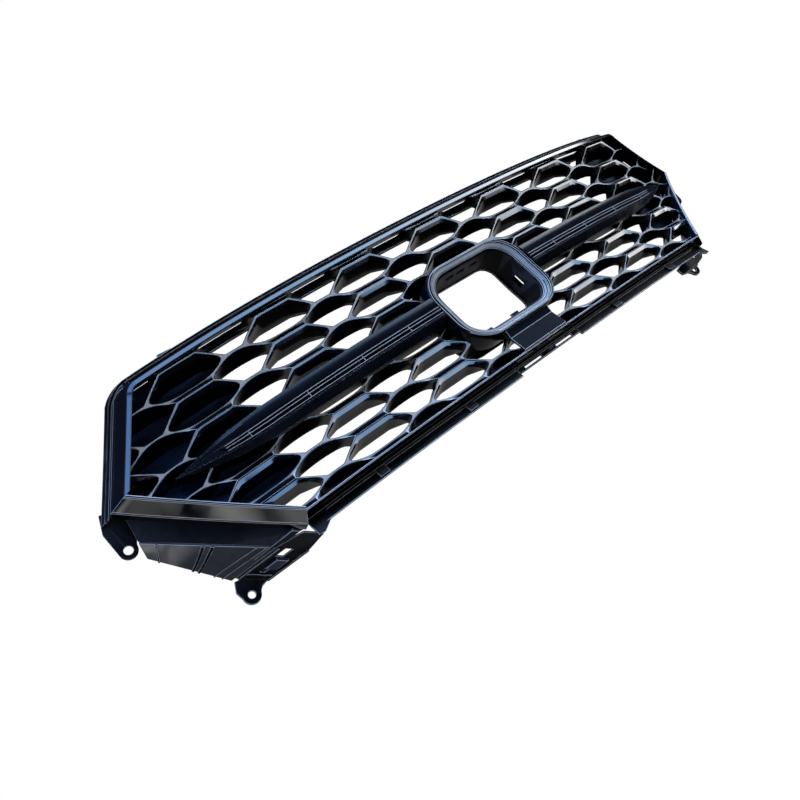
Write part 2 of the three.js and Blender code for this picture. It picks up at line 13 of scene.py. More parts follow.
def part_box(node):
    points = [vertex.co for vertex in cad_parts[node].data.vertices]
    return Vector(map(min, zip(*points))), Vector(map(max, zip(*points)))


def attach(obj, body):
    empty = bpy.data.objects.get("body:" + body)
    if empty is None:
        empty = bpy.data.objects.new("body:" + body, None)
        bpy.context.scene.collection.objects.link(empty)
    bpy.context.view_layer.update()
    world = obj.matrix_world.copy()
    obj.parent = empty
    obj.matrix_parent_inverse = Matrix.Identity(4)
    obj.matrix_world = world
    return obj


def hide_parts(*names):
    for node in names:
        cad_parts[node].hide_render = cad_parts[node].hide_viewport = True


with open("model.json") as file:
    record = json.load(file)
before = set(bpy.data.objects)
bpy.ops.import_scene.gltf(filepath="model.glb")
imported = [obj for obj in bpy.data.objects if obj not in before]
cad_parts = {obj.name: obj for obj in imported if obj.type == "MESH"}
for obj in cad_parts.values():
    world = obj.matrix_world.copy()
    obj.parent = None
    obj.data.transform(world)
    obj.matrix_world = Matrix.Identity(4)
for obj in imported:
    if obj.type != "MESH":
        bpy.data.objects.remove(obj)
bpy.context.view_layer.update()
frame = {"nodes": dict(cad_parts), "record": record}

MM = 0.001

# ---- Driving dimensions, in millimetres on the plan ----------------------------------------------

MIDDLE_Z = 110
BOW_RADIUS = 422
SWEEP_SPAN = 465
SWEEP_SOFT = 21
SWEEP_HARD = 14.4

UPPER = (467, 211)
SIDE = (535, 109)
LOWER = (398, -30)
TOP_ARCH = 5.3
CORNER_RADIUS = 17

COLUMN_PITCH = 135.3
ROW_PITCH = 39.3
FIRST_ROW_Z = 204.5
ROWS = 6
COMB_DEPTH = 26
RIB = 2.6
TOP_HALF = 24.3
SIDE_HALF = 55.4
BOTTOM_HALF = 28.7
WIDE_HEIGHT = 30.5
NARROW_HALF = COLUMN_PITCH / 2 - SIDE_HALF
CEILING_DROP = 12
SHINGLE_DEPTH = 11
EDGE_RADIUS = 0.9
CHAMFER_DROP = 5
CHAMFER_DEPTH = 2.7

BAR_ROOT_X = 91
BAR_TIP_X = 481
BAR_TIP_Z = 91
BAR_TOP_Z = 106
BAR_BOTTOM_Z = 72
BAR_BACK_DROP = 8
BAR_BACK = 22
BAR_PROUD = 14
SLOT_LOW_Z = 75.5
SLOT_HIGH_Z = 88
SLOT_END_X = 430
SLOT_RECESS = 6
TIP_START_X = 360
SLOT_CROSS_X = (145, 222, 230, 305, 388)
SLOT_LINE_X = (145.5, 222.5, 305.5, 388.5)

RING_Z = 73.5
RING_HALF_X = 90
RING_HALF_Z = 65.5
RING_RADIUS = 46
RING_RIM_X = 16.7
RING_RIM_Z = 11
RING_FRONT = -14
RING_BACK = 24
RING_GAP = 0.4

# The bracket's CAD solid ends at these plan values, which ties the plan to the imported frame.
BRACKET_BACK_DEPTH = 112
BRACKET_TOP_Z = -29
bracket_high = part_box("lower_bracket_right")[1]
DEPTH_SHIFT = bracket_high.y - BRACKET_BACK_DEPTH * MM
HEIGHT_SHIFT = bracket_high.z - BRACKET_TOP_Z * MM


def face_depth(x, z):
    u = x / SWEEP_SPAN
    bow = (z - MIDDLE_Z) ** 2 / (2 * BOW_RADIUS)
    return SWEEP_SOFT * u**2 + SWEEP_HARD * u**4 - bow


def place(x, depth, z):
    """A plan point bent onto the swept face, in the frame's metres."""
    return place_straight(x, depth + face_depth(x, z), z)


def place_straight(x, y, z):
    return Vector((x * MM, y * MM + DEPTH_SHIFT, z * MM + HEIGHT_SHIFT))


def mix(a, b, t):
    return a + (b - a) * t


# ---- Camera, world, lights and floor -------------------------------------------------------------

CAMERA_PLACE = Vector((-0.6815, -0.8320, -0.2815))
CAMERA_RIGHT = Vector((0.7257, -0.2560, -0.6386))
CAMERA_UP = Vector((0.4793, -0.4778, 0.7363))
CAMERA_LENS = 34.70
FLOOR_Z = -0.75
FLOOR_REACH = 14

PANEL_STRENGTH = 7.0
GLOW_STRENGTH = 3.2
BACK_STRENGTH = 0.3
DARK_STRENGTH = 0.02


def make_camera():
    data = bpy.data.cameras.new("camera")
    data.sensor_width = 36
    data.lens = CAMERA_LENS
    data.clip_end = 60
    camera = bpy.data.objects.new("camera", data)
    right = CAMERA_RIGHT.normalized()
    backward = right.cross(CAMERA_UP).normalized()
    up = backward.cross(right)
    turn = Matrix((right, up, backward)).transposed().to_4x4()
    camera.matrix_world = Matrix.Translation(CAMERA_PLACE) @ turn
    bpy.context.scene.collection.objects.link(camera)
    bpy.context.scene.camera = camera


def math_node(nodes, links, operation, a, b=None, c=None):
    node = nodes.new("ShaderNodeMath")
    node.operation = operation
    for socket, value in zip(node.inputs, (a, b, c)):
        if value is None:
            continue
        if isinstance(value, (int, float)):
            socket.default_value = value
        else:
            links.new(value, socket)
    return node.outputs[0]


def step_node(nodes, links, value, low, high):
    """Rises smoothly from 0 at low to 1 at high, or falls if low is above high."""
    node = nodes.new("ShaderNodeMapRange")
    node.interpolation_type = "SMOOTHSTEP"
    node.inputs["From Min"].default_value = min(low, high)
    node.inputs["From Max"].default_value = max(low, high)
    node.inputs["To Min"].default_value = 0 if low < high else 1
    node.inputs["To Max"].default_value = 1 if low < high else 0
    links.new(value, node.inputs["Value"])
    return node.outputs["Result"]


def sky_colour(nodes, links, x):
    """Deep blue on the left, through pale blue, to white on the right."""
    sky = nodes.new("ShaderNodeValToRGB")
    sky.color_ramp.elements[0].position = 0.36
    sky.color_ramp.elements[0].color = (0.16, 0.36, 0.86, 1)
    sky.color_ramp.elements[1].position = 0.92
    sky.color_ramp.elements[1].color = (1, 1, 1, 1)
    middle = sky.color_ramp.elements.new(0.74)
    middle.color = (0.42, 0.66, 1, 1)
    links.new(math_node(nodes, links, "MULTIPLY_ADD", x, 0.5, 0.5), sky.inputs[0])
    return sky.outputs[0]


def make_world():
    """White for the camera. Reflections see two sky panels, a streaked glow, a pale back and dark."""
    world = bpy.data.worlds.new("studio")
    bpy.context.scene.world = world
    world.use_nodes = True
    nodes, links = world.node_tree.nodes, world.node_tree.links
    nodes.clear()
    direction = nodes.new("ShaderNodeTexCoord").outputs["Generated"]
    axes = nodes.new("ShaderNodeSeparateXYZ")
    links.new(direction, axes.inputs[0])
    x, y, z = axes.outputs
    sky = sky_colour(nodes, links, x)

    def both(a, b):
        return math_node(nodes, links, "MULTIPLY", a, b)

    upper = both(step_node(nodes, links, z, 0.44, 0.52), step_node(nodes, links, y, -0.66, -0.60))
    upper = both(upper, step_node(nodes, links, y, -0.06, -0.14))
    slant = math_node(nodes, links, "MULTIPLY_ADD", y, -2.0, x)
    lower = both(step_node(nodes, links, z, -0.24, -0.30), step_node(nodes, links, y, -0.80, -0.75))
    lower = both(lower, step_node(nodes, links, y, -0.10, -0.16))
    lower = both(lower, step_node(nodes, links, slant, 1.25, 1.32))
    panels = math_node(nodes, links, "ADD", upper, lower)

    streaks = nodes.new("ShaderNodeTexNoise")
    streaks.inputs["Scale"].default_value = 7
    links.new(direction, streaks.inputs["Vector"])
    glow = both(step_node(nodes, links, z, -0.15, -0.30), step_node(nodes, links, x, -0.50, -0.62))
    glow = both(glow, step_node(nodes, links, y, 0.25, 0.1))
    glow = both(glow, step_node(nodes, links, streaks.outputs["Fac"], 0.35, 0.7))
    back = both(step_node(nodes, links, y, 0.25, 0.6), BACK_STRENGTH)
    back = math_node(nodes, links, "ADD", back, both(glow, GLOW_STRENGTH))

    panel_light = nodes.new("ShaderNodeBackground")
    links.new(sky, panel_light.inputs["Color"])
    links.new(both(panels, PANEL_STRENGTH), panel_light.inputs["Strength"])
    back_light = nodes.new("ShaderNodeBackground")
    back_light.inputs["Color"].default_value = (1, 1, 1, 1)
    back_amount = math_node(nodes, links, "ADD", back, DARK_STRENGTH)
    links.new(back_amount, back_light.inputs["Strength"])
    seen_by_gloss = nodes.new("ShaderNodeAddShader")
    links.new(panel_light.outputs[0], seen_by_gloss.inputs[0])
    links.new(back_light.outputs[0], seen_by_gloss.inputs[1])

    white = nodes.new("ShaderNodeBackground")
    white.inputs["Color"].default_value = (1, 1, 1, 1)
    white.inputs["Strength"].default_value = 1
    ray = nodes.new("ShaderNodeLightPath")
    choose = nodes.new("ShaderNodeMixShader")
    links.new(ray.outputs["Is Camera Ray"], choose.inputs[0])
    links.new(seen_by_gloss.outputs[0], choose.inputs[1])
    links.new(white.outputs[0], choose.inputs[2])
    output = nodes.new("ShaderNodeOutputWorld")
    links.new(choose.outputs[0], output.inputs["Surface"])


def make_light(name, place_from, aim, width, height, power, colour=(1, 1, 1)):
    data = bpy.data.lights.new(name, "AREA")
    data.shape = "RECTANGLE"
    data.size = width
    data.size_y = height
    data.energy = power
    data.color = colour
    light = bpy.data.objects.new(name, data)
    light.location = place_from
    light.rotation_euler = (Vector(aim) - Vector(place_from)).to_track_quat("-Z", "Y").to_euler()
    light.visible_camera = False
    light.visible_glossy = False
    bpy.context.scene.collection.objects.link(light)


def make_lights():
    make_light("key", (-0.6, -2.2, 2.0), (0, 0, 0), 0.9, 0.9, 12, (0.86, 0.92, 1))
    make_light("fill", (2.4, -1.6, -0.4), (0, 0, 0), 0.5, 1.6, 10)


def make_floor():
    mesh = bpy.data.meshes.new("floor")
    corners = [(x * FLOOR_REACH, y * FLOOR_REACH, 0) for x, y in ((-1, -1), (1, -1), (1, 1), (-1, 1))]
    mesh.from_pydata(corners, [], [(0, 1, 2, 3)])
    floor = bpy.data.objects.new("floor", mesh)
    floor.location.z = FLOOR_Z
    floor.visible_glossy = False
    floor.visible_diffuse = False
    bpy.context.scene.collection.objects.link(floor)
    material = bpy.data.materials.new("pale_floor")
    material.use_nodes = True
    shader = material.node_tree.nodes["Principled BSDF"]
    shader.inputs["Base Color"].default_value = (0.25, 0.25, 0.25, 1)
    shader.inputs["Roughness"].default_value = 0.9
    shader.inputs["Emission Color"].default_value = (1, 1, 1, 1)
    shader.inputs["Emission Strength"].default_value = 0.93
    mesh.materials.append(material)


# ---- Materials -----------------------------------------------------------------------------------


def new_material(name):
    material = bpy.data.materials.new(name)
    material.use_nodes = True
    return material, material.node_tree.nodes, material.node_tree.links


def noise(nodes, links, scale, detail=4.0, roughness=0.55):
    coordinates = nodes.new("ShaderNodeTexCoord").outputs["Object"]
    texture = nodes.new("ShaderNodeTexNoise")
    texture.inputs["Scale"].default_value = scale
    texture.inputs["Detail"].default_value = detail
    texture.inputs["Roughness"].default_value = roughness
    links.new(coordinates, texture.inputs["Vector"])
    return texture.outputs["Fac"]


def ramp(nodes, links, value, low_at, low, high_at, high):
    node = nodes.new("ShaderNodeValToRGB")
    node.color_ramp.elements[0].position = low_at
    node.color_ramp.elements[0].color = (*low, 1)
    node.color_ramp.elements[1].position = high_at
    node.color_ramp.elements[1].color = (*high, 1)
    links.new(value, node.inputs[0])
    return node.outputs[0]


def ranged(nodes, links, value, low, high):
    node = nodes.new("ShaderNodeMapRange")
    node.inputs["From Min"].default_value = 0.3
    node.inputs["From Max"].default_value = 0.7
    node.inputs["To Min"].default_value = low
    node.inputs["To Max"].default_value = high
    links.new(value, node.inputs["Value"])
    return node.outputs["Result"]


def bump(nodes, links, height, strength, distance):
    node = nodes.new("ShaderNodeBump")
    node.inputs["Strength"].default_value = strength
    node.inputs["Distance"].default_value = distance
    links.new(height, node.inputs["Height"])
    return node.outputs["Normal"]


def plastic(name, dark, light, rough, grain_scale, grain_strength, coat=0.0, edge=None, shine=0.5):
    """Moulded plastic: slow colour and roughness drift, a moulded grain, and edges made paler partly as wear
    and partly as a painted highlight.
    """
    material, nodes, links = new_material(name)
    shader = nodes["Principled BSDF"]
    drift = noise(nodes, links, 14)
    colour = ramp(nodes, links, drift, 0.35, dark, 0.7, light)
    if edge:
        colour = edge_wear_and_highlight(nodes, links, colour, edge)
    links.new(colour, shader.inputs["Base Color"])
    links.new(ranged(nodes, links, noise(nodes, links, 60, 6), *rough), shader.inputs["Roughness"])
    grain = noise(nodes, links, grain_scale, 3)
    links.new(bump(nodes, links, grain, grain_strength, 0.0002), shader.inputs["Normal"])
    shader.inputs["Specular IOR Level"].default_value = shine
    shader.inputs["Coat Weight"].default_value = coat
    shader.inputs["Coat Roughness"].default_value = 0.06
    return material


def edge_wear_and_highlight(nodes, links, colour, edge):
    # Sharp edges turn paler in noisy patches: part wear, part a painted highlight along the edges.
    sharpness = nodes.new("ShaderNodeNewGeometry").outputs["Pointiness"]
    amount = step_node(nodes, links, sharpness, 0.51, 0.56)
    wear_and_highlight = math_node(nodes, links, "MULTIPLY", amount, noise(nodes, links, 90, 5))
    blend = nodes.new("ShaderNodeMix")
    blend.data_type = "RGBA"
    links.new(wear_and_highlight, blend.inputs["Factor"])
    links.new(colour, blend.inputs["A"])
    blend.inputs["B"].default_value = (*edge, 1)
    return blend.outputs["Result"]


def steel(name):
    material, nodes, links = new_material(name)
    shader = nodes["Principled BSDF"]
    scratches = noise(nodes, links, 900, 2)
    links.new(ramp(nodes, links, scratches, 0.3, (0.32, 0.33, 0.35), 0.7, (0.55, 0.56, 0.58)),
              shader.inputs["Base Color"])
    links.new(ranged(nodes, links, scratches, 0.28, 0.45), shader.inputs["Roughness"])
    links.new(bump(nodes, links, scratches, 0.15, 0.0002), shader.inputs["Normal"])
    shader.inputs["Metallic"].default_value = 1.0
    return material


def make_materials():
    return {
        "gloss_black": plastic("gloss_black", (0.004, 0.005, 0.007), (0.008, 0.009, 0.012),
                               (0.05, 0.11), 1500, 0.02, coat=0.4),
        "ring_black": plastic("ring_black", (0.003, 0.004, 0.006), (0.006, 0.007, 0.010),
                              (0.10, 0.18), 1500, 0.02, shine=0.2),
        "mesh_black": plastic("mesh_black", (0.003, 0.003, 0.005), (0.006, 0.007, 0.010),
                              (0.08, 0.14), 2200, 0.03, coat=0.5),
        # The paler edge colour is partly wear and partly a painted highlight.
        "satin_black": plastic("satin_black", (0.004, 0.004, 0.005), (0.008, 0.008, 0.010),
                               (0.34, 0.46), 1800, 0.12, edge=(0.05, 0.05, 0.055), shine=0.1),
        "bar_black": plastic("bar_black", (0.005, 0.006, 0.009), (0.010, 0.011, 0.016),
                             (0.20, 0.30), 1800, 0.08, shine=0.14),
        "plate_black": plastic("plate_black", (0.003, 0.005, 0.009), (0.006, 0.009, 0.015),
                               (0.30, 0.42), 1800, 0.10, shine=0.03),
        "panel_black": plastic("panel_black", (0.014, 0.030, 0.068), (0.024, 0.048, 0.104),
                               (0.30, 0.42), 1800, 0.10, shine=0.3),
        "smoked_panel": plastic("smoked_panel", (0.05, 0.052, 0.056), (0.10, 0.103, 0.11),
                                (0.10, 0.2), 900, 0.03, coat=0.5),
        # A pale colour for thin lines and bevels along edges: a painted highlight standing in for
        # reflections, not a colour of the part.
        "light_edge": plastic("light_edge", (0.50, 0.47, 0.44), (0.66, 0.63, 0.60),
                              (0.10, 0.18), 1800, 0.03, shine=0.15),
        "screw_steel": steel("screw_steel"),
    }


def slot_of_node(node):
    for entry in frame["record"]["subparts"]:
        if entry["node"] == node:
            return entry["material_slot"]
    return "satin_black"


# ---- Mesh tools ----------------------------------------------------------------------------------


class Skin:
    """Collects points and faces of one piece."""

    def __init__(self):
        self.points = []
        self.faces = []

    def loop(self, points):
        start = len(self.points)
        self.points.extend(points)
        return list(range(start, start + len(points)))

    def bridge(self, first, second, closed=True):
        count = len(first)
        for i in range(count if closed else count - 1):
            j = (i + 1) % count
            self.faces.append((first[i], first[j], second[j], second[i]))

    def cap(self, loop):
        self.faces.append(tuple(loop))

    def tube(self, loops, closed_way=False):
        """A skin through loops of one length, with flat ends unless the way closes on itself."""
        rings = [self.loop(points) for points in loops]
        for first, second in zip(rings, rings[1:]):
            self.bridge(first, second)
        if closed_way:
            self.bridge(rings[-1], rings[0])
        else:
            self.cap(rings[0])
            self.cap(rings[-1])
        return rings

    def block(self, low_x, high_x, low_z, high_z, front, back, steps=1):
        """A box on the plan, split along x so that it can bend."""
        loops = []
        for i in range(steps + 1):
            x = mix(low_x, high_x, i / steps)
            loops.append([(x, front, low_z), (x, front, high_z), (x, back, high_z), (x, back, low_z)])
        self.tube(loops)

    def mesh(self, name, to_world, merge=1e-6):
        mesh = bpy.data.meshes.new(name)
        mesh.from_pydata([to_world(*point) for point in self.points], [], self.faces)
        shape = bmesh.new()
        shape.from_mesh(mesh)
        bmesh.ops.remove_doubles(shape, verts=shape.verts, dist=merge)
        bmesh.ops.recalc_face_normals(shape, faces=shape.faces)
        shape.to_mesh(mesh)
        shape.free()
        return mesh


def flat_place(x, depth, z):
    return Vector((x, depth, z))


def finish_piece(name, mesh, slot, nodes=(), bevel=0.0, smooth_angle=32, look=None, light_edges=False):
    """A finished piece. Its second material, if it has one, is a pale painted highlight line along its edges.
    """
    piece = bpy.data.objects.new(name, mesh)
    bpy.context.scene.collection.objects.link(piece)
    second_faces = [face.index for face in mesh.polygons if face.material_index == 1]
    mesh.materials.clear()
    mesh.materials.append(materials[look or slot])
    if light_edges or second_faces:
        mesh.materials.append(materials["light_edge"])
    for index in second_faces:
        mesh.polygons[index].material_index = 1
    mesh.shade_smooth()
    mesh.set_sharp_from_angle(angle=math.radians(smooth_angle))
    if bevel:
        modifier = piece.modifiers.new("rounded_edges", "BEVEL")
        modifier.width = bevel * MM
        modifier.segments = 3
        modifier.limit_method = "ANGLE"
        modifier.angle_limit = math.radians(smooth_angle - 4)
        modifier.harden_normals = False
        modifier.use_clamp_overlap = True
        if light_edges:
            # The bevel faces take the pale painted highlight material.
            modifier.material = 1
    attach(piece, "root")
    if nodes:
        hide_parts(*nodes)
    return piece


def mirror_x(mesh, name):
    copy = mesh.copy()
    copy.name = name
    copy.transform(Matrix.Scale(-1, 4, (1, 0, 0)))
    copy.flip_normals()
    return copy


def finish_sides(name, right, slot, nodes, bevel, **finish):
    """Finishes a mesh and its mirror image, which stand for the right and left nodes."""
    left = mirror_x(right, name + "_left_look")
    for side, mesh in (("right", right), ("left", left)):
        replaced = [f"{node}_{side}" for node in nodes]
        finish_piece(f"{name}_{side}_look", mesh, slot, replaced, bevel, **finish)


def finish_pair(name, skin, slot, nodes=(), bevel=0.0, to_world=place, **finish):
    finish_sides(name, skin.mesh(name + "_right_look", to_world), slot, nodes, bevel, **finish)


# ---- Plan outlines -------------------------------------------------------------------------------


def offset_line(a, b, distance):
    length = math.hypot(b[0] - a[0], b[1] - a[1])
    normal = ((b[1] - a[1]) / length * distance, -(b[0] - a[0]) / length * distance)
    return (a[0] + normal[0], a[1] + normal[1]), (b[0] + normal[0], b[1] + normal[1])


def crossing(first, second):
    (a, b), (c, d) = first, second
    r = (b[0] - a[0], b[1] - a[1])
    s = (d[0] - c[0], d[1] - c[1])
    t = ((c[0] - a[0]) * s[1] - (c[1] - a[1]) * s[0]) / (r[0] * s[1] - r[1] * s[0])
    return a[0] + r[0] * t, a[1] + r[1] * t


def grow(outline, distance):
    """Moves every side of an anticlockwise outline outwards, keeping sharp corners."""
    count = len(outline)
    result = []
    for i, point in enumerate(outline):
        before, after = outline[i - 1], outline[(i + 1) % count]
        result.append(crossing(offset_line(before, point, distance), offset_line(point, after, distance)))
    return result


def bezel_corners(outward):
    right = [LOWER, SIDE, UPPER]
    left = [(-x, z) for x, z in reversed(right)]
    return grow(right + left, outward)


def arch_lift(x):
    return TOP_ARCH * (1 - (x / UPPER[0]) ** 2)


def rounded_outline(half_x, half_z, radius, steps=10):
    points = []
    for corner in range(4):
        side_x = 1 if corner in (0, 3) else -1
        side_z = 1 if corner < 2 else -1
        for i in range(steps + 1):
            angle = (corner + i / steps) * math.pi / 2
            points.append((side_x * (half_x - radius) + radius * math.cos(angle),
                           RING_Z + side_z * (half_z - radius) + radius * math.sin(angle)))
    return points


# ---- Honeycomb -----------------------------------------------------------------------------------


def row_z(row):
    return FIRST_ROW_Z - ROW_PITCH * row


def lean(z):
    """Each row of ribs leans back like a shingle: its lower edge is in front of its upper edge."""
    step = (z - FIRST_ROW_Z) / ROW_PITCH
    part = step - math.floor(step)
    rise = 1 - WIDE_HEIGHT / ROW_PITCH
    return SHINGLE_DEPTH * (part / rise if part < rise else (1 - part) / (1 - rise))


def place_comb(x, depth, z):
    return place(x, depth + lean(z) * (1 - depth / COMB_DEPTH), z)


def split_sides(corners, counts):
    """The outline with every side split into its own number of equal steps."""
    points = []
    for i, (x, z) in enumerate(corners):
        next_x, next_z = corners[(i + 1) % len(corners)]
        for step in range(counts[i]):
            t = step / counts[i]
            points.append((mix(x, next_x, t), mix(z, next_z, t)))
    return points


def wide_corners(drop):
    middle = -ROW_PITCH / 2
    right = [(BOTTOM_HALF, -WIDE_HEIGHT), (SIDE_HALF, middle), (TOP_HALF, -drop)]
    return right + [(-x, z) for x, z in reversed(right)]


def narrow_corners(drop):
    low_half = COLUMN_PITCH / 2 - TOP_HALF
    high_half = COLUMN_PITCH / 2 - BOTTOM_HALF
    shoulder = ROW_PITCH - WIDE_HEIGHT
    right = [(NARROW_HALF, -ROW_PITCH / 2), (low_half, -drop / 3), (high_half, shoulder - drop / 3),
             (NARROW_HALF, ROW_PITCH / 2 - drop)]
    return right + [(-x, z) for x, z in reversed(right)]


WIDE_STEPS = (4, 5, 6, 5, 4, 6)
NARROW_STEPS = (5, 2, 4, 3, 4, 2, 5, 3)
WIDE_SOFT_CORNERS = (0, 1, 4, 5)
NARROW_SOFT_CORNERS = (2, 3, 4, 5)


def inset(points, distance):
    """Moves an anticlockwise loop inwards, corner by corner."""
    result = []
    count = len(points)
    for i, (x, z) in enumerate(points):
        before, after = points[i - 1], points[(i + 1) % count]
        first = Vector((x - before[0], z - before[1])).normalized()
        second = Vector((after[0] - x, after[1] - z)).normalized()
        normal = Vector((-first.y - second.y, first.x + second.x)).normalized()
        stretch = 1 / max(0.5, normal.dot(Vector((-first.y, first.x))))
        result.append((x + normal.x * distance * stretch, z + normal.y * distance * stretch))
    return result


def soften(points, starts, corners, passes=3):
    """Relaxes the loop around the chosen corners, so that they turn in a curve."""
    count = len(points)
    near = {(starts[c] + k) % count for c in corners for k in (-1, 0, 1)}
    for _ in range(passes):
        relaxed = list(points)
        for i in near:
            before, after = points[i - 1], points[(i + 1) % count]
            relaxed[i] = (points[i][0] / 2 + (before[0] + after[0]) / 4,
                          points[i][1] / 2 + (before[1] + after[1]) / 4)
        points = relaxed
    return points


def ceiling_drop(depth, chamfered):
    if not chamfered:
        return CEILING_DROP * depth / COMB_DEPTH
    if depth < CHAMFER_DEPTH:
        return CHAMFER_DROP * depth / CHAMFER_DEPTH
    share = (depth - CHAMFER_DEPTH) / (COMB_DEPTH - CHAMFER_DEPTH)
    return mix(CHAMFER_DROP, CEILING_DROP, share)


def cell_profile():
    """Pairs of inset and depth from the front of a rib, round its edge, to the back of the cell."""
    radius = EDGE_RADIUS
    flat = RIB / 2 - radius
    front = [(flat + radius * math.sin(a), radius * (1 - math.cos(a)))
             for a in (i * math.pi / 8 for i in range(5))]
    walls = [(RIB / 2, depth) for depth in (CHAMFER_DEPTH, 8, 14, 20)]
    back = [(inset_by, COMB_DEPTH - depth) for inset_by, depth in reversed(front)]
    return front + walls + back


def add_cell(skin, x, row, corners_at, steps, soft_corners, chamfered):
    starts = [sum(steps[:i]) for i in range(len(steps))]
    base_z = row_z(row)

    def at(loop, depth):
        return [(x + px, depth, base_z + pz) for px, pz in loop]

    centre_line = split_sides(corners_at(0), steps)
    rings = [skin.loop(at(centre_line, 0))]
    for distance, depth in cell_profile():
        outline = split_sides(corners_at(ceiling_drop(depth, chamfered)), steps)
        outline = soften(inset(outline, distance), starts, soft_corners)
        rings.append(skin.loop(at(outline, depth)))
    rings.append(skin.loop(at(centre_line, COMB_DEPTH)))
    for first, second in zip(rings, rings[1:]):
        skin.bridge(first, second)


def add_rib_face(skin, x, row):
    """The solid strip between a wide cell and the wide cell above it, front and back."""
    rise = ROW_PITCH - WIDE_HEIGHT
    z = row_z(row)
    columns, rows = WIDE_STEPS[2], NARROW_STEPS[1]
    for depth in (0, COMB_DEPTH):
        lines = []
        for j in range(rows + 1):
            half = mix(TOP_HALF, BOTTOM_HALF, j / rows)
            lines.append(skin.loop([(x + mix(-half, half, i / columns), depth, z + rise * j / rows)
                                    for i in range(columns + 1)]))
        for first, second in zip(lines, lines[1:]):
            skin.bridge(first, second, closed=False)


def prism(outline, front, back):
    skin = Skin()
    skin.tube([[(x, depth, z) for x, z in outline] for depth in (front, back)])
    return skin.mesh("cutter", flat_place)


def comb_lattice():
    skin = Skin()
    for row in range(-1, ROWS + 1):
        for column in range(-4, 5):
            x = column * COLUMN_PITCH
            add_cell(skin, x, row, wide_corners, WIDE_STEPS, WIDE_SOFT_CORNERS, True)
            if row >= 0:
                add_rib_face(skin, x, row)
        for column in range(-4, 4):
            x = (column + 0.5) * COLUMN_PITCH
            add_cell(skin, x, row, narrow_corners, NARROW_STEPS, NARROW_SOFT_CORNERS, False)
    return skin


def close_sides(mesh):
    """Joins the open front and back edges of the lattice round its outside."""
    shape = bmesh.new()
    shape.from_mesh(mesh)
    edges = [edge for edge in shape.edges if edge.is_boundary]
    bmesh.ops.bridge_loops(shape, edges=edges)
    bmesh.ops.triangulate(shape, faces=[f for f in shape.faces if len(f.verts) > 4])
    bmesh.ops.recalc_face_normals(shape, faces=shape.faces)
    shape.to_mesh(mesh)
    shape.free()


def boolean(target, cutter_mesh, operation):
    cutter = bpy.data.objects.new("cutter", cutter_mesh)
    bpy.context.scene.collection.objects.link(cutter)
    modifier = target.modifiers.new("cut", "BOOLEAN")
    modifier.operation = operation
    modifier.solver = "MANIFOLD"
    modifier.object = cutter
    graph = bpy.context.evaluated_depsgraph_get()
    result = bpy.data.meshes.new_from_object(target.evaluated_get(graph))
    target.modifiers.clear()
    target.data = result
    bpy.data.objects.remove(cutter)


def bezel_outline(outward):
    outline = bezel_corners(outward)
    (start_x, z), (end_x, _) = outline[2], outline[3]
    steps = 24
    top = [(mix(start_x, end_x, i / steps), z) for i in range(1, steps)]
    return outline[:3] + [(x, top_z + arch_lift(x)) for x, top_z in top] + outline[3:]


def bar_plan(outward):
    right = [(BAR_ROOT_X - 6, BAR_BOTTOM_Z - BAR_BACK_DROP), (420, 70), (BAR_TIP_X, BAR_TIP_Z),
             (430, 101), (BAR_ROOT_X - 6, BAR_TOP_Z)]
    return grow(right, outward)


def on_strip(x, z):
    """Whether a plan point is on a solid strip, away from the thin ribs."""
    across = abs(x - round(x / COLUMN_PITCH) * COLUMN_PITCH)
    rise = ROW_PITCH - WIDE_HEIGHT
    up = (z - FIRST_ROW_Z) % ROW_PITCH
    return up < rise and across < mix(TOP_HALF, BOTTOM_HALF, up / rise)


def mark_rib_highlights(mesh):
    """Gives the flat front faces of the thin ribs the second material, a pale painted highlight line."""
    for face in mesh.polygons:
        x, depth, z = face.center
        if depth < EDGE_RADIUS * 0.01 and not on_strip(x, z):
            face.material_index = 1


def make_honeycomb():
    mesh = comb_lattice().mesh("honeycomb_look", flat_place, merge=0.001)
    close_sides(mesh)
    work = bpy.data.objects.new("honeycomb_work", mesh)
    bpy.context.scene.collection.objects.link(work)
    boolean(work, prism(bezel_outline(-0.8), -5, COMB_DEPTH + 5), "INTERSECT")
    ring = rounded_outline(*(size + RING_GAP for size in (RING_HALF_X, RING_HALF_Z, RING_RADIUS)))
    bar = bar_plan(-1.5)
    for hole in (ring, bar, [(-x, z) for x, z in reversed(bar)]):
        boolean(work, prism(hole, -6, COMB_DEPTH + 6), "DIFFERENCE")
    result = work.data
    mark_rib_highlights(result)
    for vertex in result.vertices:
        vertex.co = place_comb(*vertex.co)
    bpy.data.objects.remove(work)
    result.name = "honeycomb_look"
    finish_piece("honeycomb_look", result, "mesh_black", ["honeycomb_mesh"], smooth_angle=24)


# ---- Bezel ---------------------------------------------------------------------------------------


def upper_corner_centre():
    """Centre of the rounded upper right corner, the same for every outward distance."""
    a, b, c = bezel_corners(-CORNER_RADIUS)[1:4]
    return crossing((a, b), (b, c))


def corner_angles():
    side = math.atan2(-(UPPER[0] - SIDE[0]), UPPER[1] - SIDE[1])
    return side, math.pi / 2


def top_path(t, outward):
    centre_x, _ = upper_corner_centre()
    x = mix(-centre_x, centre_x, t)
    return x, UPPER[1] + outward + arch_lift(x)


